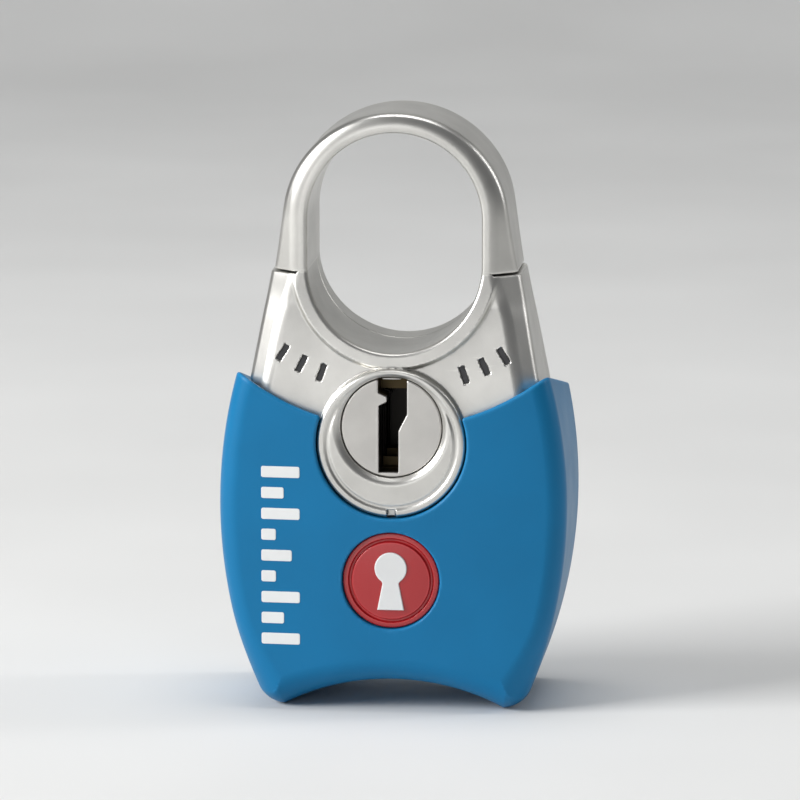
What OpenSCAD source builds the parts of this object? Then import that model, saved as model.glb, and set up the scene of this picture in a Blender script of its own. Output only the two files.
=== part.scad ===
// Small keyed luggage padlock: cast body with a clip-on blue jacket, a one-piece
// arch shackle, and a five-wafer key cylinder that works a spring bolt.
// X is right, the front faces -Y, Z is up. The origin is under the middle of the lock.

/* [Body] */
// Height from the feet to the top of the shackle
lock_h = 44.7; // [44.5:0.1:44.9]
// Widest half-width of the jacket
half_w = 13; // [12.8:0.1:13.2]
// Half of the depth over the jacket
half_d = 6.8; // [6.7:0.1:7]
// Wall of the jacket
jacket_wall = 1.2; // [1.1:0.05:1.3]
// Radius of the bulging sides of the jacket
side_r = 37; // [35:1:39]
// Height of the widest place
waist_z = 15.4; // [15:0.1:15.8]
// Radius of the hollow under the lock
foot_arch_r = 17; // [16.8:0.1:17.4]
// Height of the hollow under the lock
foot_arch_h = 2.1; // [1.8:0.1:2.2]
// Radius of the arc where the jacket ends
jacket_top_r = 18.4; // [18.2:0.1:18.6]
// Height of that arc's centre
jacket_top_z = 40.6; // [40.5:0.1:40.7]
// Slope of the jacket's top edge down towards the back
edge_tilt = 14; // [12:1:15]

/* [Shackle] */
// Outer radius of the arch
arch_r = 8.55; // [8.5:0.05:8.6]
// Thickness of the arch at its top
crown_t = 1.5; // [1.4:0.1:1.7]
// How far the flanks lean out on the way down, in degrees
flank_lean = 10.5; // [10:0.5:11]
// Radius of the window's round ends
window_r = 6.5; // [6.4:0.05:6.5]
// Height of the joint between shackle and body
parting_z = 32.7; // [32.6:0.1:32.8]
// Half-depth of the arch
arch_d = 4.2; // [4.1:0.1:4.4]
// How far the shackle lifts
lift = 6.5; // [6.2:0.1:6.5]
// Radius of the two legs
leg_r = 0.9; // [0.86:0.02:0.92]
// Distance of each leg from the middle
leg_x = 7.9; // [7.85:0.05:7.95]

/* [Cylinder] */
// Radius of the key plug
plug_r = 4.25; // [4.2:0.05:4.25]
// Height of the plug's axis
plug_z = 21.5; // [21.4:0.1:21.5]
// Number of wafers
wafer_count = 5; // [5]
// Distance from wafer to wafer
wafer_pitch = 1.2; // [1.15:0.05:1.2]
// Thickness of a wafer
wafer_t = 0.55; // [0.5:0.05:0.55]
// Radius of the round lobe around the keyhole
lobe_r = 5.55; // [5.5:0.05:5.6]
// Height of the lobe's centre
lobe_z = 20.3; // [20.3:0.1:20.4]

/* [Bolt] */
// Travel of the bolt, which is also the cam pin's crank radius
bolt_travel = 3; // [2.9:0.05:3]
// Thickness of the bolt's bar
bolt_h = 2; // [1.9:0.1:2]

/* [Badge] */
// Radius of the badge
badge_r = 3.6; // [3.4:0.1:3.8]
// Height of the badge's centre
badge_z = 10; // [9.8:0.1:10.2]

/* [Hidden] */
$fn = 64;
eps = 0.01;
gap = 0.05;

arch_z = lock_h - arch_r;
window_high_z = lock_h - crown_t - window_r;
window_low_z = parting_z + 0.7;
seam = 0.14;
land_r = window_r + 1;
bevel_d = 0.9;
edge_low_z = jacket_top_z - jacket_top_r / cos(edge_tilt);
slope_low_z = 27;
shell_d = half_d - jacket_wall;
shell_inset = jacket_wall + gap;
split_y = 2.2;
crown_r = 141;

bore_r = plug_r + gap;
nose_r = plug_r - 0.5;
nose_y = -6.1;
lobe_y = -6.5;
lip_y = -5.55;
dish_r = nose_r + 0.45;

wafer_half = 2.2;
wafer_r = plug_r - 0.05;
wafer_drop = 0.5;
wafer_first_y = -3.7;
wafer_window_h = 6;
wafer_steps = [-0.4, 0.2, -0.1, 0.4, -0.3];
slot_t = wafer_t + 0.1;
lug_w = 0.55;
lug_h = 0.6;
pocket_top = 2;

groove_r = 2.2;
tail_side = 3.4;
tail_end_y = 3.4;
cam_r = 3.8;
cam_y = 2.72;
cam_pin_r = 0.6;
cavity_r = 4.9;
cavity_y = 5;
screw_head_y = 4;
plate_y = [4.15, 4.85];

bar_z = 14;
bar_y = 0.8;
tongue_tip = 7.4;
bar_left = -5;
bolt_lead = 0.75;
channel_left = -10.6;

heel_end_z = 9.3;
spring_seat_z = 3;
toe_end_z = 29.1;
notch_x = 7.5;
notch_z = [11.8, 15.2];
flat_x = leg_x + 0.45;
stop_pin_r = 0.4;
stop_pin_z = 23.2;
flat_z = [stop_pin_z - stop_pin_r - lift - 0.3, stop_pin_z + 0.7];

case_screw_places = [[-6, 7], [4, 7], [-8.6, 18]];
mark_angles = [-32, -26, -20, 20, 26, 32];
mark_z = 40;
mark_r = 14.9;
print_x = -9.7;
print_z = 5;
print_pitch = 1.58;
print_bars = [2.9, 1.7, 2.9, 1.1, 2.3, 1.1, 2.9, 1.7, 2.9];

silver = "silver";
dark = "dimgray";

// Extrudes an outline drawn in the X-Z plane from y0 to y1
module slab(y0, y1) {
  translate([0, y1, 0]) rotate([90, 0, 0]) linear_extrude(y1 - y0) children();
}

// Round bar along Y
module rod_y(x, z, r, y0, y1) {
  translate([x, y1, z]) rotate([90, 0, 0]) cylinder(r = r, h = y1 - y0);
}

// Block given by its low and high corners
module block(low, high) {
  translate(low) cube(high - low);
}

// Bulging lower outline, moved in by inset
module jacket_outline(inset) {
  side_x = side_r - half_w;
  difference() {
    intersection() {
      translate([-side_x, waist_z]) circle(side_r - inset, $fn = 128);
      translate([side_x, waist_z]) circle(side_r - inset, $fn = 128);
      translate([-half_w, inset]) square([2 * half_w, 30]);
    }
    translate([0, foot_arch_h - foot_arch_r]) circle(foot_arch_r + inset, $fn = 128);
  }
}

// Half-width of the silver flanks at height z
function flank_x(z) = (arch_r - (z - arch_z) * sin(flank_lean)) / cos(flank_lean);

// Shoulders with leaning flanks, from under the jacket up to the parting line
module shoulder_outline() {
  low_z = edge_low_z - 5;
  top_z = parting_z - seam / 2;
  polygon([[-flank_x(low_z), low_z], [flank_x(low_z), low_z],
           [flank_x(top_z), top_z], [-flank_x(top_z), top_z]]);
}

// Oval window that the shackle and the saddle enclose
module window_outline() {
  translate([0, window_low_z]) circle(window_r, $fn = 96);
  translate([0, window_high_z]) circle(window_r, $fn = 96);
  translate([-window_r, window_low_z]) square([2 * window_r, window_high_z - window_low_z]);
}

// Round space above the jacket's edge, sloping down towards the back
module above_jacket(r) {
  translate([0, -half_d, jacket_top_z]) rotate([-90 - edge_tilt, 0, 0])
    translate([0, 0, -half_d]) cylinder(r = r, h = 4 * half_d, $fn = 128);
}

// Metal body between two depths, below and above the jacket's edge
module shell(y0, y1) {
  difference() {
    union() {
      slab(y0, y1) intersection() {
        jacket_outline(shell_inset);
        translate([-half_w, 0]) square([2 * half_w, edge_low_z + 4]);
      }
      intersection() {
        slab(y0, y1) shoulder_outline();
        above_jacket(jacket_top_r - gap);
      }
    }
    slab(-half_d, half_d) window_outline();
    shoulder_slopes();
  }
}

// Keyhole with its wards, drawn about the plug's axis
module keyway_outline() {
  polygon([[-1, 3.6], [1.15, 3.6], [1.15, 1], [0.5, -0.3], [0.5, -3.4],
           [-0.95, -3.4], [-0.95, 1.6], [-0.35, 1.9], [-0.35, 2.3], [-1, 2.6]]);
}

// Front and back slope in from the jacket's edge to the shackle's depth
module shoulder_slopes() {
  slope_a = atan((shell_d - arch_d) / (parting_z - slope_low_z));
  for (side = [0, 1])
    mirror([0, side, 0])
      translate([-half_w, -shell_d, slope_low_z]) rotate([-slope_a, 0, 0])
        translate([0, -4, 0]) cube([2 * half_w, 4, 12]);
}

// Short engraved ticks on the shoulders, on an arc above the jacket's edge
module shoulder_ticks(y0, y1) {
  for (a = mark_angles)
    translate([0, 0, mark_z]) rotate([0, -a, 0])
      block([-0.22, y0, -mark_r - 1.3], [0.22, y1, -mark_r]);
}

// Column of short bars on the left of the jacket
module print_column(y0, y1) {
  for (i = [0 : len(print_bars) - 1]) {
    z = print_z + i * print_pitch;
    block([print_x, y0, z], [print_x + print_bars[i], y1, z + 0.85]);
  }
}

// Round wire wound along +Z from 0 to length, coil_r to the wire's centre
module coil_spring(coil_r, wire_r, length, turns, steps, sides) {
  count = turns * steps;
  rise = (length - 2 * wire_r) / count;
  points = [for (i = [0 : count], j = [0 : sides - 1])
    let (a = 360 * i / steps, b = 360 * j / sides, r = coil_r + wire_r * cos(b))
    [r * cos(a), r * sin(a), wire_r + i * rise + wire_r * sin(b)]];
  walls = [for (i = [0 : count - 1], j = [0 : sides - 1])
    let (k = (j + 1) % sides)
    [i * sides + j, i * sides + k, (i + 1) * sides + k, (i + 1) * sides + j]];
  low_cap = [for (j = [sides - 1 : -1 : 0]) j];
  high_cap = [for (j = [0 : sides - 1]) count * sides + j];
  polyhedron(points, concat([low_cap], walls, [high_cap]));
}

module body_casting() {
  color(silver) difference() {
    union() {
      shell(-shell_d, split_y);
      rod_y(0, lobe_z, lobe_r, lobe_y, -shell_d + eps);
    }
    // dished mouth, lip and plug bore
    translate([0, lobe_y - eps, plug_z]) rotate([-90, 0, 0])
      cylinder(r1 = dish_r, r2 = nose_r + gap, h = nose_y - lobe_y + eps);
    rod_y(0, plug_z, nose_r + gap, nose_y - eps, lip_y + eps);
    rod_y(0, plug_z, bore_r, lip_y, split_y + eps);
    // groove round the lobe's face and the small notch at its foot
    slab(lobe_y - eps, lobe_y + 0.15) translate([0, lobe_z]) difference() {
      circle(lobe_r - 0.35);
      circle(lobe_r - 0.6);
    }
    block([-0.35, lobe_y - eps, lobe_z - lobe_r - eps], [0.35, lobe_y + 0.3, lobe_z - lobe_r + 0.7]);
    // broach that the wafers drop into
    block([-wafer_half - 0.15, wafer_first_y - 0.45, plug_z - plug_r - wafer_drop],
          [wafer_half + 0.15, split_y + eps, plug_z]);
    // leg bores
    translate([leg_x, 0, spring_seat_z - gap]) cylinder(r = leg_r + gap, h = lock_h);
    translate([-leg_x, 0, toe_end_z - 0.2]) cylinder(r = leg_r + gap, h = lock_h);
    // bolt channel, spring channel and clearance for the plate
    block([bar_left - bolt_travel - 0.1, -bar_y - gap, bar_z - bolt_h / 2 - gap],
          [leg_x - 0.4, split_y + eps, bar_z + bolt_h / 2 + gap]);
    translate([channel_left, 0, bar_z]) rotate([0, 90, 0]) cylinder(r = 0.95, h = 4);
    block([channel_left, 0, bar_z - 0.95], [channel_left + 4, split_y + eps, bar_z + 0.95]);
    rod_y(flat_x + gap + stop_pin_r, stop_pin_z, stop_pin_r + 0.02, -2.5, split_y + eps);
    for (p = case_screw_places) rod_y(p[0], p[1], 0.62, -0.8, split_y + eps);
    shoulder_ticks(-shell_d - 1, -shell_d + 0.2);
  }
}

module rear_cover() {
  color(silver) difference() {
    shell(split_y + 0.02, shell_d);
    rod_y(0, plug_z, cavity_r, split_y - eps, cavity_y);
    block([-6.2, split_y - eps, bar_z - bolt_h / 2 - 0.15], [2.4, cavity_y, plug_z + 2]);
    for (p = case_screw_places) {
      rod_y(p[0], p[1], 0.66, split_y - eps, shell_d);
      rod_y(p[0], p[1], 1.15, 4.85, shell_d + eps);
    }
  }
}

module jacket() {
  color("steelblue") difference() {
    intersection() {
      slab(-half_d, half_d) jacket_outline(0);
      translate([0, crown_r - half_d, 0]) cylinder(r = crown_r, h = lock_h, $fn = 256);
    }
    above_jacket(jacket_top_r);
    slab(-shell_d - 0.02, shell_d + 0.02) jacket_outline(jacket_wall);
    rod_y(0, lobe_z, lobe_r + gap, -half_d - 1, -shell_d + eps);
    rod_y(0, badge_z, badge_r + gap, -half_d - 1, -half_d + 0.6);
    print_column(-half_d - 1, -half_d + 0.46);
  }
}

module case_screws() {
  color(dark) for (p = case_screw_places) difference() {
    union() {
      rod_y(p[0], p[1], 0.6, -0.6, 5);
      rod_y(p[0], p[1], 1.1, 4.88, 5.5);
    }
    for (a = [0, 90])
      translate([p[0], 5.5, p[1]]) rotate([0, a, 0]) cube([1.3, 0.7, 0.3], center = true);
  }
}

// Arch and leaning flanks as one lens-edged block, before the window is cut
module shackle_blank() {
  section = [[0, -arch_d], [land_r, -arch_d], [arch_r, -arch_d + bevel_d],
             [arch_r, arch_d - bevel_d], [land_r, arch_d], [0, arch_d]];
  translate([0, 0, arch_z]) rotate([90, 0, 0]) rotate_extrude($fn = 128) polygon(section);
  for (side = [0, 1])
    mirror([side, 0, 0])
      translate([0, 0, arch_z]) rotate([0, -flank_lean, 0])
        translate([0, 0, -arch_r]) linear_extrude(arch_r) polygon(section);
}

module shackle() {
  low_z = parting_z + seam / 2;
  color(silver) union() {
    difference() {
      intersection() {
        shackle_blank();
        block([-half_w, -half_d, low_z], [half_w, half_d, lock_h + 1]);
      }
      slab(-half_d, half_d) window_outline();
    }
    translate([-leg_x, 0, toe_end_z]) cylinder(r = leg_r, h = low_z + 0.5 - toe_end_z);
    difference() {
      translate([leg_x, 0, heel_end_z]) cylinder(r = leg_r, h = low_z + 0.5 - heel_end_z);
      block([leg_x - 2, -2, notch_z[0]], [notch_x, 2, notch_z[1]]);
      block([flat_x, -2, flat_z[0]], [leg_x + 2, 2, flat_z[1]]);
    }
  }
}

module shackle_spring() {
  color(dark) translate([leg_x, 0, spring_seat_z])
    coil_spring(0.6, 0.17, heel_end_z - spring_seat_z - 0.02, 8, 14, 6);
}

module heel_stop_pin() {
  color(dark) rod_y(flat_x + gap + stop_pin_r, stop_pin_z, stop_pin_r, -2.4, split_y - gap);
}

module lock_bolt() {
  low = bar_z - bolt_h / 2;
  high = bar_z + bolt_h / 2;
  crank_z = plug_z - bolt_travel;
  color(dark) difference() {
    union() {
      block([bar_left, -bar_y, low], [tongue_tip, bar_y, high]);
      block([bar_left + 2, -bar_y, low], [1.9, plate_y[1], high]);
      block([-2.6, plate_y[0], low], [1.9, plate_y[1], plug_z + 1.6]);
    }
    block([-cam_pin_r - bolt_lead, plate_y[0] - eps, crank_z - cam_pin_r - 0.1],
          [cam_pin_r + 0.08, plate_y[1] + eps, plug_z + cam_pin_r + 0.1]);
  }
}

module bolt_spring() {
  color(dark) translate([channel_left + 0.02, 0, bar_z]) rotate([0, 90, 0])
    coil_spring(0.65, 0.15, bar_left - channel_left - 0.04, 7, 14, 6);
}

module key_plug() {
  color("dimgray") difference() {
    union() {
      rod_y(0, plug_z, nose_r, nose_y, lip_y + gap);
      rod_y(0, plug_z, plug_r, lip_y + 0.02, split_y);
      rod_y(0, plug_z, groove_r, split_y - eps, 2.66);
      block([-tail_side / 2, 2.65, plug_z - tail_side / 2],
            [tail_side / 2, tail_end_y, plug_z + tail_side / 2]);
    }
    slab(nose_y - eps, 1.5) translate([0, plug_z]) keyway_outline();
    for (i = [0 : wafer_count - 1]) {
      y = wafer_first_y + i * wafer_pitch;
      block([-wafer_half - gap, y - slot_t / 2, plug_z - plug_r - 1],
            [wafer_half + gap, y + slot_t / 2, plug_z + plug_r + 1]);
      block([wafer_half, y - slot_t / 2, plug_z - lug_h - wafer_drop - 0.1],
            [wafer_half + lug_w + 0.1, y + slot_t / 2, plug_z + pocket_top]);
    }
    rod_y(0, plug_z, 0.72, 1.75, tail_end_y + eps);
  }
}

// One wafer, flush with the plug at rest; step places its key window
module wafer(i) {
  y = wafer_first_y + (i - 1) * wafer_pitch;
  color("goldenrod") slab(y - wafer_t / 2, y + wafer_t / 2) translate([0, plug_z]) difference() {
    union() {
      intersection() {
        circle(wafer_r);
        square([2 * wafer_half, 2 * plug_r], center = true);
      }
      translate([wafer_half - 0.5, -lug_h]) square([lug_w + 0.5, lug_h]);
    }
    translate([-1.5, wafer_steps[i - 1] - wafer_window_h / 2]) square([3, wafer_window_h]);
  }
}

module wafer_springs() {
  color(dark) for (i = [0 : wafer_count - 1])
    translate([wafer_half + 0.36, wafer_first_y + i * wafer_pitch, plug_z + 0.01])
      coil_spring(0.17, 0.06, pocket_top - 0.02, 4, 8, 4);
}

module plug_clip() {
  color(dark) slab(2.25, 2.6) translate([0, plug_z]) difference() {
    circle(cavity_r - 0.25);
    circle(groove_r + gap);
    translate([-1.9, 0]) square([3.8, cavity_r]);
  }
}

module cam() {
  color("goldenrod") difference() {
    union() {
      rod_y(0, plug_z, cam_r, cam_y, tail_end_y);
      rod_y(0, plug_z - bolt_travel, cam_pin_r, cam_y, 4.9);
    }
    block([-tail_side / 2 - 0.03, cam_y - eps, plug_z - tail_side / 2 - 0.03],
          [tail_side / 2 + 0.03, tail_end_y + eps, plug_z + tail_side / 2 + 0.03]);
  }
}

module cam_screw() {
  color(dark) difference() {
    union() {
      rod_y(0, plug_z, 0.69, 1.9, tail_end_y + 0.1);
      rod_y(0, plug_z, 2.1, tail_end_y + 0.02, screw_head_y);
    }
    block([-2.2, screw_head_y - 0.25, plug_z - 0.2], [2.2, screw_head_y + eps, plug_z + 0.2]);
  }
}

module badge() {
  color("firebrick") difference() {
    rod_y(0, badge_z, badge_r, -half_d + 0.12, -half_d + 0.58);
    badge_figure(-half_d, -half_d + 0.3);
  }
}

// Plain keyhole figure
module badge_figure(y0, y1) {
  slab(y0, y1) translate([0, badge_z]) {
    translate([0, 0.8]) circle(1.1);
    polygon([[-0.45, 0.5], [0.45, 0.5], [0.95, -2.1], [-0.95, -2.1]]);
  }
}

module badge_symbol() {
  color("white") badge_figure(-half_d + 0.05, -half_d + 0.3);
}

module side_print() {
  color("white") print_column(-half_d + 0.36, -half_d + 0.46);
}

module shoulder_marks() {
  color(dark) shoulder_ticks(-shell_d + 0.12, -shell_d + 0.2);
}

body_casting();
rear_cover();
jacket();
case_screws();
shackle();
shackle_spring();
heel_stop_pin();
lock_bolt();
bolt_spring();
key_plug();
wafer(1);  // wafer_1
wafer(2);  // wafer_2
wafer(3);  // wafer_3
wafer(4);  // wafer_4
wafer(5);  // wafer_5
wafer_springs();
plug_clip();
cam();
cam_screw();
badge();
badge_symbol();
side_print();
shoulder_marks();
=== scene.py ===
"""The looks of a small keyed luggage padlock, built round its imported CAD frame.

Each visible casting or moulding is written as a distance field in millimetres: negative inside,
positive outside, with rounded edges. solid() turns a field into a mesh in the frame's metres.
"""

import math

import bpy
import numpy as np
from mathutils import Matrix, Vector


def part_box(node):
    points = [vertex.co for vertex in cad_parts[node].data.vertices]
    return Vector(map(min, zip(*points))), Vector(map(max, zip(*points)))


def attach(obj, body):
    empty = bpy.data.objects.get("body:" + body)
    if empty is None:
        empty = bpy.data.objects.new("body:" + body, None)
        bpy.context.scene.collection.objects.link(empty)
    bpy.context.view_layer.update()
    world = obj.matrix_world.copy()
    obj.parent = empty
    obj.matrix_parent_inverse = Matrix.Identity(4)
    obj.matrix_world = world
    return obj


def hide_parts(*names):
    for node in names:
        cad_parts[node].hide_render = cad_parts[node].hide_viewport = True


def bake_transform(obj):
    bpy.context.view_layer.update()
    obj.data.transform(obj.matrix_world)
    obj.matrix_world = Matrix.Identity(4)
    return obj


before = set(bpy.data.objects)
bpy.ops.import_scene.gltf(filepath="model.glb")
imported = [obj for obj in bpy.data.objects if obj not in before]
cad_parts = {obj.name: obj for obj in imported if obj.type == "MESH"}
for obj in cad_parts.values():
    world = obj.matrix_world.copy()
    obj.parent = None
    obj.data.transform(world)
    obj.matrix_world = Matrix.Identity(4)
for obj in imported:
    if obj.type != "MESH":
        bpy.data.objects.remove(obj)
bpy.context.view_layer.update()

# ---------------------------------------------------------------- sizes, in millimetres

MM = 0.001


def box_mm(node):
    """A CAD node's lowest and highest corners in millimetres."""
    low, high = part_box(node)
    return low / MM, high / MM


jacket_low, jacket_high = box_mm("jacket")
shackle_low, shackle_high = box_mm("shackle")
casting_low, casting_high = box_mm("body_casting")
plug_low, plug_high = box_mm("key_plug")
badge_low, badge_high = box_mm("badge")
symbol_low, symbol_high = box_mm("badge_symbol")
print_low, print_high = box_mm("side_print")
pin_low, pin_high = box_mm("heel_stop_pin")
bolt_low = box_mm("lock_bolt")[0]
spring_low = box_mm("shackle_spring")[0]
bolt_spring_low, bolt_spring_high = box_mm("bolt_spring")
rear_low, rear_high = box_mm("rear_cover")
marks_low, marks_high = box_mm("shoulder_marks")

# Jacket
HALF_D = jacket_high.y
HALF_W = 13.0
WALL = 1.2
SIDE_R = 37.0
SIDE_X = SIDE_R - HALF_W
WAIST_Z = 15.4
FOOT_ARCH_H = 2.1
FOOT_ARCH_R = 17.0
FOOT_ARCH_Z = FOOT_ARCH_H - FOOT_ARCH_R
TOP_ARC_R = 18.4
TOP_ARC_Z = 40.6
EDGE_TILT = math.radians(14)  # the top edge slopes down towards the back
CROWN_R = 141.0
SHELL_D = HALF_D - WALL
CORNER_R = 1.3
FRONT_R = 1.5
FOOT_ROLL = 1.3  # how much softer the front edge gets at the foot
FOOT_ROLL_Z = 7.5
BACK_R = 0.9
INNER_R = 0.4

# Shackle and shoulders
ARCH_R = 8.55
ARCH_Z = shackle_high.z - ARCH_R
ARCH_D = shackle_high.y
CROWN_T = 1.5
LEAN = math.radians(10.5)  # of the straight flanks
WINDOW_R = 6.5
WINDOW_HIGH_Z = shackle_high.z - CROWN_T - WINDOW_R
PARTING_Z = 32.7
WINDOW_LOW_Z = PARTING_Z + 0.7
SEAM = 0.14  # open line between the shackle and the shoulders
LAND_W = 1.0  # flat rim round the window
BEVEL_W = 1.8
BEVEL_SLOPE = 0.85
BEVEL_R = 0.35
BEVEL_TAPER = 0.4  # the shoulders' bevel narrows by this much, over this height
BEVEL_TAPER_H = 3.7
SHOULDER_D = 5.95
SHOULDER_Z = 21.0
RING_STEP = 0.4  # how far the ring round the window stands out
RING_SLOPE_W = 0.35
RING_FADE_H = 2.5
LEDGE = 0.2  # how far the arch's foot stands back from the shoulders
LEDGE_H = 8.0
CREVICE = 1.6  # depth of the gap behind the jacket's edge at its corners
LEG_R = 0.9
LEG_X = 7.9
LEG_TOP_Z = PARTING_Z + 1.2
TOE_END_Z = 29.1
NOTCH_X = 7.5
NOTCH_Z = (11.8, 15.2)
FLAT_X = LEG_X + 0.45
FLAT_Z = (16.0, 23.9)

# Plug, lobe and what lies behind them
SPLIT_Y = 2.2
GAP = 0.05
PLUG_R = (plug_high.x - plug_low.x) / 2
PLUG_Z = (plug_high.z + plug_low.z) / 2
NOSE_Y = plug_low.y
NOSE_R = PLUG_R - 0.5
LOBE_Y = casting_low.y
LIP_Y = -5.55
LOBE_R = 5.55
LOBE_Z = 20.3
LOBE_ROOT_Y = -5.0
LOBE_EDGE_R = 0.35
GROOVE_RING_R = LOBE_R - 0.75
GROOVE_R = 0.2
DRAIN_HALF_W = 0.32
DRAIN_H = 0.6
DISH_R = NOSE_R + 0.45
NECK_R = 2.2
NECK_END_Y = 2.7
TAIL_HALF = 1.7
KEYWAY = [(-1, 3.6), (1.15, 3.6), (1.15, 1), (0.5, -0.3), (0.5, -3.4),
          (-0.95, -3.4), (-0.95, 1.6), (-0.35, 1.9), (-0.35, 2.3), (-1, 2.6)]
KEYWAY_END_Y = 1.5
WAFERS = 5
WAFER_FIRST_Y = -3.7
WAFER_PITCH = 1.2
WAFER_HALF_W = 2.2
SLOT_HALF = 0.325
POCKET_X = 2.85
POCKET_Z = (PLUG_Z - 1.2, PLUG_Z + 2)
TAIL_BORE_R = 0.72
TAIL_BORE_Y = 1.75
CAM_ROOM_R = 4.9
CAM_ROOM_Y = 5.0
PLATE_X = (-6.2, 2.4)
SCREWS = ((-6, 7), (4, 7), (-8.6, 18))
SCREW_R = 0.66
SCREW_HEAD_R = 1.15
SCREW_HEAD_Y = 4.85
BOLT_H = 2.0
BOLT_D = 0.8
BOLT_ROOM_X = -8.1
SPRING_ROOM = 0.95
STOP_PIN_R = 0.4

# Badge and marks
BADGE_R = (badge_high.x - badge_low.x) / 2
BADGE_Z = (badge_high.z + badge_low.z) / 2
BADGE_DOME_R = 30
BADGE_RIM_W = 0.55
BADGE_FLOOR_Y = badge_low.y + 0.25
MARK_ANGLES = (-32, -26, -20, 20, 26, 32)
MARK_Z = 40.0
MARK_R = 15.55
MARK_HALF_W = 0.17
MARK_HALF_H = 0.6
MARK_END_R = 0.05
MARK_DEPTH = 0.16
PAINT_DEPTHS = (0.1, 0.17)
BARS = (2.9, 1.7, 2.9, 1.1, 2.3, 1.1, 2.9, 1.7, 2.9)
BAR_H = 0.85
BAR_PITCH = 1.58
BAR_CORNER = 0.15

# Rounding of cast edges, of edges that close on another part, and of crisp ones
SOFT_R = 0.3
MEETING_R = 0.15
CRISP_R = 0.12

# Past any surface of the lock, and a distance larger than any in a field
FAR = 9
NOWHERE = 1e9


# ---------------------------------------------------------------- fields

def round_max(a, b, r):
    """Both a and b, with the edge between them rounded to radius r."""
    corner = np.hypot(np.maximum(r + a, 0), np.maximum(r + b, 0))
    return np.minimum(-r, np.maximum(a, b)) + corner


def round_min(a, b, r):
    """Either a or b, with a fillet of radius r between them."""
    corner = np.hypot(np.maximum(r - a, 0), np.maximum(r - b, 0))
    return np.maximum(r, np.minimum(a, b)) - corner


def cut(a, b, r):
    """a without b, with a rounded rim."""
    return round_max(a, -b, r)


def step_up(t):
    """Smooth step from 0 to 1 as t goes from 0 to 1."""
    t = np.clip(t, 0, 1)
    return t * t * (3 - 2 * t)


def block(x, y, z, low, high):
    """Box from its low corner to its high corner."""
    over_x = np.maximum(low[0] - x, x - high[0])
    over_y = np.maximum(low[1] - y, y - high[1])
    over_z = np.maximum(low[2] - z, z - high[2])
    return np.maximum(np.maximum(over_x, over_y), over_z)


def rod_y(x, y, z, centre, r, low_y, high_y):
    """Round bar along Y about centre = (x, z)."""
    return np.maximum(np.hypot(x - centre[0], z - centre[1]) - r, np.maximum(low_y - y, y - high_y))


def rod_z(x, y, z, centre_x, r, low_z, high_z, edge):
    """Round bar along Z with rounded ends."""
    return round_max(np.hypot(x - centre_x, y) - r, np.maximum(low_z - z, z - high_z), edge)


def polygon_field(x, z, points):
    """Distance to a polygon's outline, negative inside."""
    best = np.full(np.broadcast(x, z).shape, NOWHERE)
    inside = np.zeros(best.shape, bool)
    for (ax, az), (bx, bz) in zip(points, points[1:] + points[:1]):
        ex, ez = bx - ax, bz - az
        t = np.clip(((x - ax) * ex + (z - az) * ez) / (ex * ex + ez * ez), 0, 1)
        best = np.minimum(best, np.hypot(x - ax - t * ex, z - az - t * ez))
        crosses = (az > z) != (bz > z)
        slope_x = ax + (z - az) * ex / (ez if ez else 1e-9)
        inside ^= crosses & (x < slope_x)
    return np.where(inside, -best, best)


def window(x, z):
    """Oval window between shackle and saddle."""
    return np.hypot(x, z - np.clip(z, WINDOW_LOW_Z, WINDOW_HIGH_Z)) - WINDOW_R


def flank(x, z):
    """Silver outline seen from the front: a round arch over straight flanks that lean out."""
    up = z - ARCH_Z
    leaning = np.abs(x) * math.cos(LEAN) + up * math.sin(LEAN) - ARCH_R
    arch = np.hypot(x, up) - ARCH_R
    return np.where(up <= np.abs(x) * math.tan(LEAN), leaning, arch)


def silver_skin(y, depth, off_land):
    """Flat land that stands depth off the middle, and a bevel that falls away past the land's edge."""
    land = np.abs(y) - depth
    bevel = (land + BEVEL_SLOPE * off_land) / math.hypot(1, BEVEL_SLOPE)
    return round_max(land, bevel, BEVEL_R)


def jacket_side(x, z, inset):
    """The jacket's bulging sides and the hollow under it."""
    left = np.hypot(x - SIDE_X, z - WAIST_Z)
    right = np.hypot(x + SIDE_X, z - WAIST_Z)
    sides = np.maximum(left, right) - SIDE_R + inset
    hollow = FOOT_ARCH_R + inset - np.hypot(x, z - FOOT_ARCH_Z)
    return sides, np.maximum(hollow, inset - z)


def top_arc(x, y, z, inset):
    """The arc where the jacket ends, sloping down towards the back; negative above the edge."""
    up = (z - TOP_ARC_Z) * math.cos(EDGE_TILT) + (y + HALF_D) * math.sin(EDGE_TILT)
    return np.hypot(x, up) - TOP_ARC_R + inset


def crown(x, y):
    """Gently crowned front of the jacket."""
    return np.hypot(x, y - CROWN_R + HALF_D) - CROWN_R


def jacket_skin(x, y, z):
    """The jacket's outer surface: soft edges and a face that rolls under at the foot."""
    sides, foot = jacket_side(x, z, 0)
    outline = round_max(sides, foot, CORNER_R)
    roll = FRONT_R + FOOT_ROLL * step_up((FOOT_ROLL_Z - z) / FOOT_ROLL_Z)
    body = round_max(outline, crown(x, y), roll)
    return round_max(body, y - HALF_D, BACK_R)


def jacket_field(x, y, z):
    """Blue jacket: its skin, open above the edge, hollow inside, with holes for lobe and badge."""
    body = cut(jacket_skin(x, y, z), top_arc(x, y, z, 0), SOFT_R)
    inner_sides, inner_foot = jacket_side(x, z, WALL)
    inside = round_max(np.maximum(inner_sides, inner_foot), np.abs(y) - SHELL_D - 0.02, INNER_R)
    body = cut(body, inside, MEETING_R)
    lobe_hole = rod_y(x, y, z, (0, LOBE_Z), LOBE_R + 0.08, -FAR, 0)
    body = cut(body, lobe_hole, 0.2)
    recess = rod_y(x, y, z, (0, BADGE_Z), BADGE_R + 0.06, -FAR, badge_low.y + 0.5)
    return cut(body, recess, CRISP_R)


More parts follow.
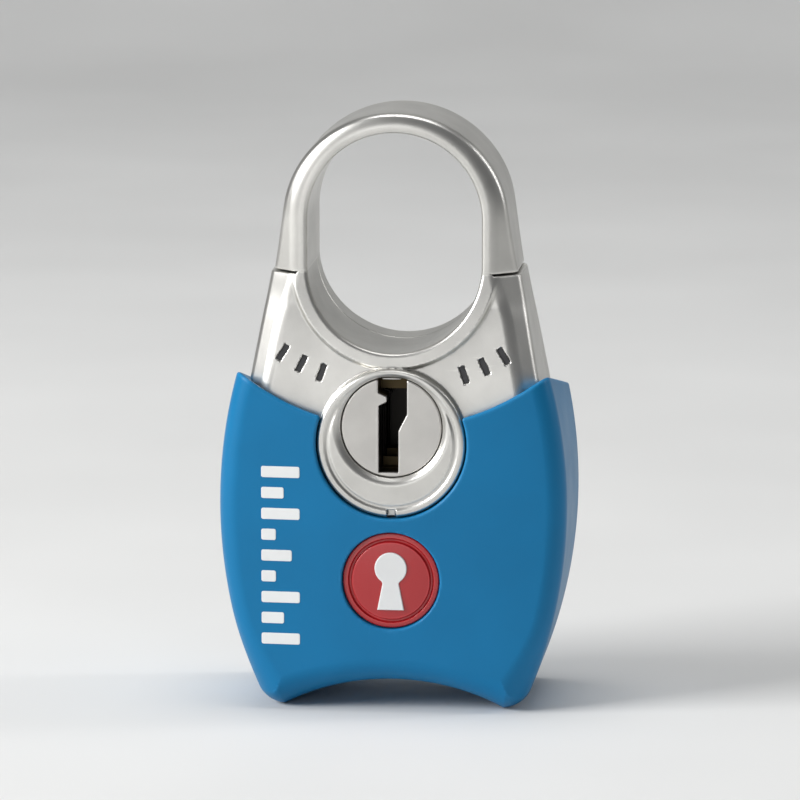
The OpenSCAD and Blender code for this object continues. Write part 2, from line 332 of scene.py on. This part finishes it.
def tick_field(x, y, z, low_y, high_y):
    """Short ticks on the shoulders, on an arc above the jacket's edge."""
    best = np.full(np.broadcast(x, z).shape, NOWHERE)
    for angle in MARK_ANGLES:
        s, c = math.sin(math.radians(angle)), math.cos(math.radians(angle))
        across = np.maximum(np.abs(x * c + (z - MARK_Z) * s) - MARK_HALF_W, 0)
        along = np.maximum(np.abs(-x * s + (z - MARK_Z) * c + MARK_R) - MARK_HALF_H, 0)
        tick = np.hypot(across, along) - MARK_END_R
        best = np.minimum(best, tick)
    return np.maximum(best, np.maximum(low_y - y, y - high_y))


def face_depth(x, z):
    """How far the silver face stands off the middle: deepest low down, with a ring round the window."""
    down = np.clip((PARTING_Z - z) / (PARTING_Z - SHOULDER_Z), 0, 1)
    depth = ARCH_D + (SHOULDER_D - ARCH_D) * np.sin(down * math.pi / 2)
    off_ring = step_up((window(x, z) - LAND_W) / RING_SLOPE_W)
    return depth - RING_STEP * off_ring * step_up((PARTING_Z - z) / RING_FADE_H)


def mark_fill(x, y, z):
    """Paint in the bottom of the engraved ticks."""
    face = -face_depth(x, z)
    return tick_field(x, y, z, face + PAINT_DEPTHS[0], face + PAINT_DEPTHS[1])


def shell_field(x, y, z):
    """Silver body as one lump: the part that the jacket hides, and the shoulders above its edge."""
    inner_sides, inner_foot = jacket_side(x, z, WALL + GAP)
    under = np.maximum(np.maximum(inner_sides, inner_foot), np.abs(y) - SHELL_D + 0.02)
    bevel_w = BEVEL_W - BEVEL_TAPER * step_up((PARTING_Z - z) / BEVEL_TAPER_H)
    skin = silver_skin(y, face_depth(x, z), bevel_w + flank(x, z))
    bare = round_max(flank(x, z), skin, SOFT_R)
    under = np.maximum(under, np.minimum(bare, -top_arc(x, y, z, -CREVICE)))
    upper = round_max(bare, z - PARTING_Z + SEAM / 2, CRISP_R)
    upper = round_max(upper, top_arc(x, y, z, GAP), CRISP_R)
    return cut(np.minimum(under, upper), window(x, z), SOFT_R)


def leg_bores(x, y, z):
    """Bores for the heel leg on the right and the toe leg on the left."""
    heel = np.maximum(np.hypot(x - LEG_X, y) - LEG_R - GAP, spring_low.z - GAP - z)
    toe = np.maximum(np.hypot(x + LEG_X, y) - LEG_R - GAP, TOE_END_Z - 0.2 - z)
    return np.minimum(heel, toe)


def mechanism_space(x, y, z):
    """Channels for the bolt, its spring and the stop pin, and the broach under the wafers."""
    rear = SPLIT_Y + 1
    bar_z = (bolt_spring_low.z + bolt_spring_high.z) / 2
    bolt = block(x, y, z, (BOLT_ROOM_X, -BOLT_D - GAP, bolt_low.z - GAP),
                 (LEG_X - 0.4, rear, bolt_low.z + BOLT_H + GAP))
    spring = block(x, y, z, (bolt_spring_low.x - GAP, -SPRING_ROOM, bar_z - SPRING_ROOM),
                   (-6, rear, bar_z + SPRING_ROOM))
    pin_centre = ((pin_low.x + pin_high.x) / 2, (pin_low.z + pin_high.z) / 2)
    pin = rod_y(x, y, z, pin_centre, STOP_PIN_R + 0.02, pin_low.y - 0.1, rear)
    broach_low = (-WAFER_HALF_W - 0.15, WAFER_FIRST_Y - 0.45, PLUG_Z - PLUG_R - 0.5)
    broach = block(x, y, z, broach_low, (WAFER_HALF_W + 0.15, rear, PLUG_Z))
    return np.minimum(np.minimum(bolt, spring), np.minimum(pin, broach))


def casting_field(x, y, z):
    """Front casting with the lobe, the dished mouth of the plug bore and every channel."""
    rho = np.hypot(x, z - PLUG_Z)
    ring = np.hypot(x, z - LOBE_Z)
    lobe = round_max(ring - LOBE_R, LOBE_Y - y, LOBE_EDGE_R)
    lobe = np.maximum(lobe, y - LOBE_ROOT_Y)
    body = round_min(shell_field(x, y, z), lobe, CRISP_R)
    groove = np.hypot(ring - GROOVE_RING_R, y - LOBE_Y + 0.08) - GROOVE_R
    body = cut(body, groove, 0.08)
    slope = (DISH_R - NOSE_R - GAP) / (NOSE_Y - LOBE_Y)
    dish = (rho - DISH_R + (y - LOBE_Y) * slope) / math.hypot(1, slope)
    body = cut(body, np.maximum(dish, y - NOSE_Y - 0.1), MEETING_R)
    body = cut(body, rod_y(x, y, z, (0, PLUG_Z), NOSE_R + 0.06, -FAR, LIP_Y + 0.1), 0.04)
    body = np.maximum(body, -rod_y(x, y, z, (0, PLUG_Z), PLUG_R + GAP, LIP_Y, FAR))
    foot_z = LOBE_Z - LOBE_R
    drain = block(x, y, z, (-DRAIN_HALF_W, -FAR, foot_z - 1),
                  (DRAIN_HALF_W, LOBE_Y + DRAIN_H, foot_z + DRAIN_H))
    body = cut(body, drain, 0.08)
    body = cut(body, leg_bores(x, y, z), 0.08)
    body = np.maximum(body, -mechanism_space(x, y, z))
    face = -face_depth(x, z)
    body = cut(body, tick_field(x, y, z, face - 1, face + MARK_DEPTH), 0.04)
    return round_max(body, y - SPLIT_Y, MEETING_R)


def rear_field(x, y, z):
    """Rear cover: the back of the silver body, hollowed for the cam and the bolt's plate."""
    body = shell_field(x, y, z)
    front = SPLIT_Y - 1
    cam_room = rod_y(x, y, z, (0, PLUG_Z), CAM_ROOM_R, front, CAM_ROOM_Y)
    plate_room = block(x, y, z, (PLATE_X[0], front, bolt_low.z - 0.15),
                       (PLATE_X[1], CAM_ROOM_Y, PLUG_Z + 2))
    body = np.maximum(body, -np.minimum(cam_room, plate_room))
    for centre in SCREWS:
        shank = rod_y(x, y, z, centre, SCREW_R, front, FAR)
        head = rod_y(x, y, z, centre, SCREW_HEAD_R, SCREW_HEAD_Y, FAR)
        body = np.maximum(body, -np.minimum(shank, head))
    return round_max(body, SPLIT_Y + 0.03 - y, MEETING_R)


def shackle_field(x, y, z):
    """Arch with a narrow front land, wide outer bevels, and its two round legs."""
    outline = flank(x, z) + LEDGE * (1 - step_up((z - PARTING_Z) / LEDGE_H))
    band = round_max(outline, silver_skin(y, ARCH_D, window(x, z) - LAND_W), SOFT_R)
    band = cut(band, window(x, z), SOFT_R)
    band = round_max(band, PARTING_Z + SEAM / 2 - z, CRISP_R)
    toe = rod_z(x, y, z, -LEG_X, LEG_R, TOE_END_Z, LEG_TOP_Z, SOFT_R)
    heel = rod_z(x, y, z, LEG_X, LEG_R, shackle_low.z, LEG_TOP_Z, 0.2)
    notch = block(x, y, z, (0, -FAR, NOTCH_Z[0]), (NOTCH_X, FAR, NOTCH_Z[1]))
    flat = block(x, y, z, (FLAT_X, -FAR, FLAT_Z[0]), (LEG_X + FAR, FAR, FLAT_Z[1]))
    heel = np.maximum(heel, -np.minimum(notch, flat))
    return np.minimum(band, np.minimum(toe, heel))


def plug_field(x, y, z):
    """Key plug: nose, warded keyway and wafer slots."""
    rho = np.hypot(x, z - PLUG_Z)
    nose = round_max(rho - NOSE_R, NOSE_Y - y, CRISP_R)
    nose = np.maximum(nose, y - LIP_Y - 0.1)
    barrel = np.maximum(rho - PLUG_R, np.maximum(LIP_Y + 0.02 - y, y - SPLIT_Y))
    neck = np.maximum(rho - NECK_R, np.maximum(SPLIT_Y - 0.1 - y, y - NECK_END_Y))
    tail = block(x, y, z, (-TAIL_HALF, NECK_END_Y - 0.05, PLUG_Z - TAIL_HALF),
                 (TAIL_HALF, plug_high.y, PLUG_Z + TAIL_HALF))
    body = np.minimum(np.minimum(nose, barrel), np.minimum(neck, tail))
    keyway = np.maximum(polygon_field(x, z - PLUG_Z, KEYWAY), y - KEYWAY_END_Y)
    body = cut(body, keyway, 0.07)
    for i in range(WAFERS):
        front = WAFER_FIRST_Y + WAFER_PITCH * i - SLOT_HALF
        back = front + 2 * SLOT_HALF
        slot_x = WAFER_HALF_W + GAP
        slot = block(x, y, z, (-slot_x, front, PLUG_Z - FAR), (slot_x, back, PLUG_Z + FAR))
        pocket = block(x, y, z, (0, front, POCKET_Z[0]), (POCKET_X, back, POCKET_Z[1]))
        body = np.maximum(body, -np.minimum(slot, pocket))
    tail_bore = rod_y(x, y, z, (0, PLUG_Z), TAIL_BORE_R, TAIL_BORE_Y, FAR)
    return np.maximum(body, -tail_bore)


def badge_field(x, y, z):
    """Domed round badge with a channel inside its rim."""
    rho = np.hypot(x, z - BADGE_Z)
    dome = np.hypot(rho, y - badge_low.y - BADGE_DOME_R) - BADGE_DOME_R
    disc = round_max(rho - BADGE_R, np.maximum(dome, y - badge_high.y), CRISP_R)
    channel = np.hypot(rho - (BADGE_R - BADGE_RIM_W), y - BADGE_FLOOR_Y) - 0.15
    return cut(disc, channel, 0.05)


def badge_shape(x, z):
    """Keyhole figure on the badge."""
    up = z - BADGE_Z
    bow = np.hypot(x, up - 0.95) - 1.2
    skirt = polygon_field(x, up, [(-0.45, 0.6), (0.45, 0.6), (1.0, -2.2), (-1.0, -2.2)])
    return round_min(bow, skirt, 0.15)


def symbol_field(x, y, z):
    """Raised keyhole figure in the badge."""
    return round_max(badge_shape(x, z), np.maximum(symbol_low.y - y, y - BADGE_FLOOR_Y), 0.06)


def print_field(x, y, z):
    """Column of short printed bars that lies on the jacket's skin."""
    best = np.full(np.broadcast(x, z).shape, NOWHERE)
    for i, width in enumerate(BARS):
        middle_x = print_low.x + width / 2
        middle_z = print_low.z + BAR_H / 2 + BAR_PITCH * i
        over_x = np.maximum(np.abs(x - middle_x) - width / 2 + BAR_CORNER, 0)
        over_z = np.maximum(np.abs(z - middle_z) - BAR_H / 2 + BAR_CORNER, 0)
        best = np.minimum(best, np.hypot(over_x, over_z) - BAR_CORNER)
    return round_max(np.maximum(best, y), np.abs(jacket_skin(x, y, z)) - 0.03, 0.02)


# ---------------------------------------------------------------- meshes

def surface_net(values, origin, step):
    """Vertices and quads of the zero surface of a sampled field."""
    inside = values < 0
    shape = tuple(n - 1 for n in values.shape)
    count = np.zeros(shape, np.int8)
    for i in (0, 1):
        for j in (0, 1):
            for k in (0, 1):
                count += inside[i:i + shape[0], j:j + shape[1], k:k + shape[2]]
    cells = np.argwhere((count > 0) & (count < 8))
    index = np.full(shape, -1, np.int64)
    index[tuple(cells.T)] = np.arange(len(cells))
    total = np.zeros((len(cells), 3))
    hits = np.zeros(len(cells))
    unit = np.eye(3, dtype=int)
    for axis in range(3):
        u, v = (axis + 1) % 3, (axis + 2) % 3
        for a in (0, 1):
            for b in (0, 1):
                corner = a * unit[u] + b * unit[v]
                first = values[tuple((cells + corner).T)]
                second = values[tuple((cells + corner + unit[axis]).T)]
                crossed = (first < 0) != (second < 0)
                share = np.where(crossed, first / np.where(crossed, first - second, 1), 0)
                total += crossed[:, None] * (corner + share[:, None] * unit[axis])
                hits += crossed
    vertices = origin + step * (cells + total / hits[:, None])
    quads = []
    for axis in range(3):
        u, v = (axis + 1) % 3, (axis + 2) % 3
        low = [slice(1, -1)] * 3
        high = [slice(1, -1)] * 3
        low[axis], high[axis] = slice(0, -1), slice(1, None)
        starts, ends = inside[tuple(low)], inside[tuple(high)]
        for solid_first in (True, False):
            edges = np.argwhere((starts == solid_first) & (ends != solid_first))
            edges[:, u] += 1
            edges[:, v] += 1
            around = [edges - unit[u] - unit[v], edges - unit[v], edges, edges - unit[u]]
            ring = np.stack([index[tuple(c.T)] for c in around], axis=1)
            quads.append(ring if solid_first else ring[:, ::-1])
    return vertices, np.concatenate(quads)


def gradient(field, points, reach=0.02):
    """The field's slope at points, as a vector that points outwards."""
    slope = np.empty_like(points)
    for axis in range(3):
        ahead, behind = points.copy(), points.copy()
        ahead[:, axis] += reach
        behind[:, axis] -= reach
        slope[:, axis] = (field(*ahead.T) - field(*behind.T)) / (2 * reach)
    return slope


def edge_share(field, points, reach=0.12):
    """How much of a sharp outer edge each point sits on: 0 on flat and hollow skin, 1 on an edge."""
    middle = field(*points.T)
    bend = np.zeros(len(points))
    for axis in range(3):
        ahead, behind = points.copy(), points.copy()
        ahead[:, axis] += reach
        behind[:, axis] -= reach
        bend += field(*ahead.T) + field(*behind.T) - 2 * middle
    return np.clip(bend / (reach * reach) / 4 - 0.25, 0, 1)


def settle(field, points, step):
    """Moves points onto the field's zero surface."""
    for _ in range(3):
        slope = gradient(field, points)
        length = np.maximum(np.linalg.norm(slope, axis=1), 0.2)
        move = np.clip(field(*points.T) / length, -step, step)
        points = points - move[:, None] * slope / length[:, None]
    return points


def solid(name, field, low, high, step, keep, material, body, nodes):
    """A field's mesh between two corners, thinned to a share of its faces, as a piece on a CAD body."""
    low, high = np.array(low) - 3 * step, np.array(high) + 3 * step
    axes = [np.arange(a, b, step) for a, b in zip(low, high)]
    x, y, z = np.meshgrid(*axes, indexing="ij", sparse=True)
    values = field(x, y, z) + np.zeros((len(axes[0]), len(axes[1]), len(axes[2])))
    vertices, quads = surface_net(values, low, step)
    vertices = settle(field, vertices, step)
    mesh = bpy.data.meshes.new(name)
    mesh.from_pydata((vertices * MM).tolist(), [], quads.tolist())
    piece = bpy.data.objects.new(name, mesh)
    bpy.context.scene.collection.objects.link(piece)
    thin = piece.modifiers.new("thin", "DECIMATE")
    thin.ratio = keep
    apply_modifiers(piece)
    mesh = piece.data
    mesh.validate()
    points = np.empty(len(mesh.vertices) * 3)
    mesh.vertices.foreach_get("co", points)
    points = settle(field, points.reshape(-1, 3) / MM, step)
    slope = gradient(field, points, 0.03)
    normals = slope / np.maximum(np.linalg.norm(slope, axis=1), 1e-6)[:, None]
    edge = mesh.attributes.new("edge", "FLOAT", "POINT")
    edge.data.foreach_set("value", edge_share(field, points))
    mesh.vertices.foreach_set("co", (points * MM).ravel())
    mesh.polygons.foreach_set("use_smooth", [True] * len(mesh.polygons))
    mesh.update()
    mesh.normals_split_custom_set_from_vertices(normals.tolist())
    finish_piece(piece, material, body, nodes)


def apply_modifiers(piece):
    """Bakes a piece's modifiers into its mesh."""
    graph = bpy.context.evaluated_depsgraph_get()
    baked = bpy.data.meshes.new_from_object(piece.evaluated_get(graph))
    old = piece.data
    piece.modifiers.clear()
    piece.data = baked
    bpy.data.meshes.remove(old)


def finish_piece(piece, material, body, nodes):
    """Gives a piece its material, the CAD nodes it stands for and its body, if one."""
    piece.data.materials.clear()
    piece.data.materials.append(material)
    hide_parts(*nodes)
    if body:
        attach(piece, body)


def coil(name, start, direction, side, coil_r, wire_r, length, turns):
    """A spring's wire as a tube along its helix, wound a little closer at both ends."""
    start, direction, side = np.array(start), np.array(direction), np.array(side)
    other = np.cross(direction, side)
    steps, sides = 24, 10
    count = int(turns * steps)
    vertices = []
    for i in range(count + 1):
        t = i / count
        climb = wire_r + (length - 2 * wire_r) * (0.9 * t + 0.1 * float(step_up(t)))
        a = 2 * math.pi * i / steps
        outward = math.cos(a) * side + math.sin(a) * other
        for j in range(sides):
            b = 2 * math.pi * j / sides
            reach = coil_r + wire_r * math.cos(b)
            vertices.append(start + outward * reach + direction * (climb + wire_r * math.sin(b)))
    faces = []
    for i in range(count):
        for j in range(sides):
            k = (j + 1) % sides
            faces.append((i * sides + j, i * sides + k, (i + 1) * sides + k, (i + 1) * sides + j))
    faces.append(tuple(range(sides))[::-1])
    faces.append(tuple(count * sides + j for j in range(sides)))
    mesh = bpy.data.meshes.new(name)
    mesh.from_pydata((np.array(vertices) * MM).tolist(), [], faces)
    mesh.polygons.foreach_set("use_smooth", [True] * len(mesh.polygons))
    mesh.update()
    piece = bpy.data.objects.new(name, mesh)
    bpy.context.scene.collection.objects.link(piece)
    return piece


# ---------------------------------------------------------------- materials

def new_material(name):
    """An empty node material, with its tree and shader."""
    material = bpy.data.materials.new(name)
    material.use_nodes = True
    tree = material.node_tree
    return material, tree, tree.nodes["Principled BSDF"]


def noise(tree, scale, detail=3.0, stretch=(1, 1, 1)):
    """Noise in object space, with scale in cycles per millimetre."""
    where = tree.nodes.new("ShaderNodeTexCoord")
    mapping = tree.nodes.new("ShaderNodeMapping")
    mapping.inputs["Scale"].default_value = [s / MM for s in stretch]
    texture = tree.nodes.new("ShaderNodeTexNoise")
    texture.inputs["Scale"].default_value = scale
    texture.inputs["Detail"].default_value = detail
    tree.links.new(where.outputs["Object"], mapping.inputs["Vector"])
    tree.links.new(mapping.outputs["Vector"], texture.inputs["Vector"])
    return texture.outputs["Fac"]


def ramp(tree, source, low, high):
    """Colour ramp from low to high over the middle of a 0 to 1 value."""
    node = tree.nodes.new("ShaderNodeValToRGB")
    node.color_ramp.elements[0].position = 0.3
    node.color_ramp.elements[1].position = 0.7
    node.color_ramp.elements[0].color = (*low, 1)
    node.color_ramp.elements[1].color = (*high, 1)
    tree.links.new(source, node.inputs["Fac"])
    return node.outputs["Color"]


def spread(tree, source, low, high):
    """Maps a 0 to 1 value onto the range from low to high."""
    node = tree.nodes.new("ShaderNodeMapRange")
    node.inputs["To Min"].default_value = low
    node.inputs["To Max"].default_value = high
    tree.links.new(source, node.inputs["Value"])
    return node.outputs["Result"]


def worn_edges(tree):
    """The mesh's edge share, broken up by noise as wear is."""
    attribute = tree.nodes.new("ShaderNodeAttribute")
    attribute.attribute_name = "edge"
    node = tree.nodes.new("ShaderNodeMath")
    node.operation = "MULTIPLY"
    tree.links.new(attribute.outputs["Fac"], node.inputs[0])
    tree.links.new(noise(tree, 0.8, 4), node.inputs[1])
    return node.outputs["Value"]


def mix(tree, factor, first, second):
    """Mixes two colours by factor."""
    node = tree.nodes.new("ShaderNodeMix")
    node.data_type = "RGBA"
    tree.links.new(factor, node.inputs["Factor"])
    for source, socket in ((first, node.inputs[6]), (second, node.inputs[7])):
        if isinstance(source, tuple):
            socket.default_value = (*source, 1)
        else:
            tree.links.new(source, socket)
    return node.outputs[2]


def bump(tree, shader, source, depth_mm, strength):
    """Bump from a height source."""
    node = tree.nodes.new("ShaderNodeBump")
    node.inputs["Strength"].default_value = strength
    node.inputs["Distance"].default_value = depth_mm * MM
    tree.links.new(source, node.inputs["Height"])
    tree.links.new(node.outputs["Normal"], shader.inputs["Normal"])


def metal(name, colour, roughness, grain=9.0, grain_depth=0.012, stretch=(1, 1, 1)):
    """Satin plated metal: cloudy colour, brighter worn edges and a fine blasted grain."""
    material, tree, shader = new_material(name)
    shader.inputs["Metallic"].default_value = 1.0
    darker = tuple(c * 0.86 for c in colour)
    brighter = tuple(min(1.0, c * 1.25) for c in colour)
    cloudy = ramp(tree, noise(tree, 0.35, 4), darker, colour)
    tree.links.new(mix(tree, worn_edges(tree), cloudy, brighter), shader.inputs["Base Color"])
    smudge = noise(tree, 0.22, 5, (1, 1, 0.6))
    tree.links.new(spread(tree, smudge, roughness - 0.07, roughness + 0.09), shader.inputs["Roughness"])
    bump(tree, shader, noise(tree, grain, 2, stretch), grain_depth, 0.35)
    return material


def paint_shade_inside(material, shade_start_y):
    """Paints shade into a metal: darkens it to near black deeper than the given y, in millimetres, where
    the inside of the keyway lies in shade.
    """
    tree = material.node_tree
    shader = tree.nodes["Principled BSDF"]
    unshaded = shader.inputs["Base Color"].links[0].from_socket
    where = tree.nodes.new("ShaderNodeTexCoord")
    parts = tree.nodes.new("ShaderNodeSeparateXYZ")
    tree.links.new(where.outputs["Object"], parts.inputs["Vector"])
    depth = tree.nodes.new("ShaderNodeMapRange")
    depth.inputs["From Min"].default_value = shade_start_y * MM
    depth.inputs["From Max"].default_value = (shade_start_y + 0.5) * MM
    tree.links.new(parts.outputs["Y"], depth.inputs["Value"])
    # Painted shade: near black mixed in deeper inside, standing in for the shade within the keyway
    painted_shade = mix(tree, depth.outputs["Result"], unshaded, (0.03, 0.028, 0.026))
    tree.links.new(painted_shade, shader.inputs["Base Color"])


def plastic(name, colour, roughness, grain=7.0, grain_depth=0.012, rub=1.25, coat=0.0, shine=0.5):
    """Moulded plastic: slight colour drift, lighter rubbed edges and a fine spark grain."""
    material, tree, shader = new_material(name)
    deeper = tuple(c * 0.88 for c in colour)
    rubbed = tuple(min(1.0, c * rub + 0.02) for c in colour)
    drift = ramp(tree, noise(tree, 0.12, 4), deeper, colour)
    tree.links.new(mix(tree, worn_edges(tree), drift, rubbed), shader.inputs["Base Color"])
    smudge = noise(tree, 0.3, 5)
    tree.links.new(spread(tree, smudge, roughness - 0.06, roughness + 0.08), shader.inputs["Roughness"])
    shader.inputs["Specular IOR Level"].default_value = shine
    shader.inputs["Coat Weight"].default_value = coat
    shader.inputs["Coat Roughness"].default_value = 0.25
    bump(tree, shader, noise(tree, grain, 2), grain_depth, 0.3)
    return material


SILVER = metal("satin_nickel", (0.66, 0.65, 0.62), 0.36)
ARCH_SILVER = metal("satin_nickel_arch", (0.66, 0.65, 0.62), 0.33)
PLUG_METAL = metal("plug_nickel", (0.60, 0.585, 0.56), 0.36, 12.0)
# Painted shade: the plug turns near black deeper inside the keyway
paint_shade_inside(PLUG_METAL, NOSE_Y + 0.15)
STEEL = metal("zinc_plated_steel", (0.50, 0.50, 0.50), 0.38, 6.0, 0.01, (1, 1, 0.2))
BRASS = metal("stamped_brass", (0.60, 0.43, 0.18), 0.34, 8.0)
# Painted shade: the brass wafers are darkened to near black so the keyway looks shaded inside
SHADED_WAFER_BRASS = metal("brass_painted_shade", (0.10, 0.075, 0.04), 0.5, 8.0)
BLUE = plastic("blue_satin_plastic", (0.001, 0.17, 0.38), 0.38, shine=0.25)
RED = plastic("red_enamel", (0.42, 0.008, 0.012), 0.25, coat=0.5)
WHITE = plastic("white_ink", (0.80, 0.81, 0.81), 0.5, rub=1.0)
DARK = plastic("dark_fill", (0.018, 0.018, 0.02), 0.55)


# ---------------------------------------------------------------- pieces

# Grid steps in millimetres, and the bevel on the CAD's own parts
COARSE = 0.15
FINE = 0.12
PLUG_STEP = 0.09
BADGE_STEP = 0.06
SMALL = 0.05
PRINT_STEP = 0.035
CAD_BEVEL = 0.04

solid("jacket_shell", jacket_field, jacket_low, jacket_high, COARSE, 0.35,
      BLUE, "lock_body", ["jacket"])
solid("casting_body", casting_field, casting_low, casting_high, FINE, 0.4,
      SILVER, "lock_body", ["body_casting"])
solid("rear_cover_shell", rear_field, rear_low, rear_high + Vector((0, 0.4, 0)), COARSE, 0.4,
      SILVER, "lock_body", ["rear_cover"])
solid("shackle_arch", shackle_field, shackle_low, shackle_high, FINE, 0.45,
      ARCH_SILVER, "shackle", ["shackle"])
solid("plug_body", plug_field, plug_low, plug_high, PLUG_STEP, 0.5,
      PLUG_METAL, "plug", ["key_plug"])
solid("badge_disc", badge_field, badge_low, badge_high, BADGE_STEP, 0.5,
      RED, "lock_body", ["badge"])
solid("badge_figure", symbol_field, symbol_low - Vector((1, 0, 1)), symbol_high + Vector((1, 0.2, 1)),
      SMALL, 0.6, WHITE, "lock_body", ["badge_symbol"])
solid("side_bars", print_field, (print_low.x, -HALF_D, print_low.z), print_high + Vector((0, 2.5, 0)),
      PRINT_STEP, 0.5, WHITE, "lock_body", ["side_print"])
solid("shoulder_ticks", mark_fill, marks_low - Vector((0.5, 1, 0.5)), marks_high + Vector((0.5, 1, 0.5)),
      SMALL, 0.5, DARK, "lock_body", ["shoulder_marks"])

heel_spring = coil("heel_spring_wire", (LEG_X, 0, spring_low.z), (0, 0, 1), (1, 0, 0),
                   coil_r=0.6, wire_r=0.17, length=shackle_low.z - spring_low.z - 0.02, turns=8)
finish_piece(heel_spring, STEEL, None, ["shackle_spring"])
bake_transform(heel_spring)

bar_z = (bolt_spring_low.z + bolt_spring_high.z) / 2
tongue_spring = coil("bolt_spring_wire", (bolt_spring_low.x, 0, bar_z), (1, 0, 0), (0, 0, 1),
                     coil_r=0.65, wire_r=0.15, length=bolt_spring_high.x - bolt_spring_low.x, turns=7)
finish_piece(tongue_spring, STEEL, None, ["bolt_spring"])
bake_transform(tongue_spring)

CARRIED = {"case_screws": STEEL, "heel_stop_pin": STEEL, "lock_bolt": STEEL, "wafer_springs": STEEL,
           "plug_clip": STEEL, "cam": BRASS, "cam_screw": STEEL}
for number in range(1, WAFERS + 1):
    CARRIED[f"wafer_{number}"] = SHADED_WAFER_BRASS
for node, material in CARRIED.items():
    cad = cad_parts[node]
    cad.data.materials.clear()
    cad.data.materials.append(material)
    if node != "wafer_springs":
        edge = cad.modifiers.new("edge", "BEVEL")
        edge.width = CAD_BEVEL * MM
        edge.segments = 2
        edge.limit_method = "ANGLE"


# ---------------------------------------------------------------- stage, light and camera

def area_light(name, place, target, size, power):
    """A soft area light at place that faces target, both in metres, with its power in watts."""
    light = bpy.data.lights.new(name, "AREA")
    light.shape = "RECTANGLE"
    light.size, light.size_y = size
    light.energy = power
    lamp = bpy.data.objects.new(name, light)
    bpy.context.scene.collection.objects.link(lamp)
    lamp.location = place
    lamp.rotation_euler = (Vector(target) - Vector(place)).to_track_quat("-Z", "Y").to_euler()


def floor():
    """Pale sweep: a floor that curves up behind the lock."""
    material, tree, shader = new_material("pale_sweep")
    tone = ramp(tree, noise(tree, 0.02, 2), (0.74, 0.74, 0.73), (0.80, 0.80, 0.79))
    tree.links.new(tone, shader.inputs["Base Color"])
    shader.inputs["Roughness"].default_value = 0.7
    half_w, front, back, bend, top = 1.2, -1.0, 0.35, 0.25, 1.2
    profile = [(front, 0.0), (back, 0.0)]
    profile += [(back + bend * math.sin(a), bend * (1 - math.cos(a)))
                for a in (math.pi / 2 * i / 12 for i in range(1, 13))]
    profile.append((back + bend, top))
    vertices = [(side * half_w, y, z) for y, z in profile for side in (-1, 1)]
    faces = [(2 * i, 2 * i + 1, 2 * i + 3, 2 * i + 2) for i in range(len(profile) - 1)]
    mesh = bpy.data.meshes.new("floor")
    mesh.from_pydata(vertices, [], faces)
    mesh.polygons.foreach_set("use_smooth", [True] * len(mesh.polygons))
    mesh.materials.append(material)
    sweep = bpy.data.objects.new("floor", mesh)
    bpy.context.scene.collection.objects.link(sweep)


floor()
MIDDLE = Vector((0, 0, 0.0225))
area_light("key", (-0.42, -0.22, 0.26), MIDDLE, (0.26, 0.26), 2.9)
area_light("front_fill", (-0.10, -0.55, 0.10), MIDDLE, (0.30, 0.20), 0.30)
area_light("right_rim", (0.42, 0.10, 0.22), MIDDLE, (0.06, 0.30), 0.4)
area_light("top", (0.0, 0.02, 0.5), MIDDLE, (0.30, 0.20), 1.0)

world = bpy.data.worlds.new("studio")
world.use_nodes = True
sky = world.node_tree.nodes["Background"]
sky.inputs["Color"].default_value = (0.85, 0.87, 0.9, 1)
sky.inputs["Strength"].default_value = 0.16
bpy.context.scene.world = world
bpy.context.scene.view_settings.view_transform = "Standard"

AZIMUTH = math.radians(6)
ELEVATION = math.radians(10)
DISTANCE = 0.5
FRAME_HEIGHT = 0.060
SENSOR = 36.0
lens = bpy.data.cameras.new("camera")
lens.sensor_width = SENSOR
lens.lens = SENSOR * DISTANCE / FRAME_HEIGHT
lens.clip_start = 0.01
camera = bpy.data.objects.new("camera", lens)
bpy.context.scene.collection.objects.link(camera)
toward = Vector((math.sin(AZIMUTH) * math.cos(ELEVATION), -math.cos(AZIMUTH) * math.cos(ELEVATION),
                 math.sin(ELEVATION)))
camera.location = MIDDLE + toward * DISTANCE
camera.rotation_euler = (-toward).to_track_quat("-Z", "Y").to_euler()
bpy.context.scene.camera = camera
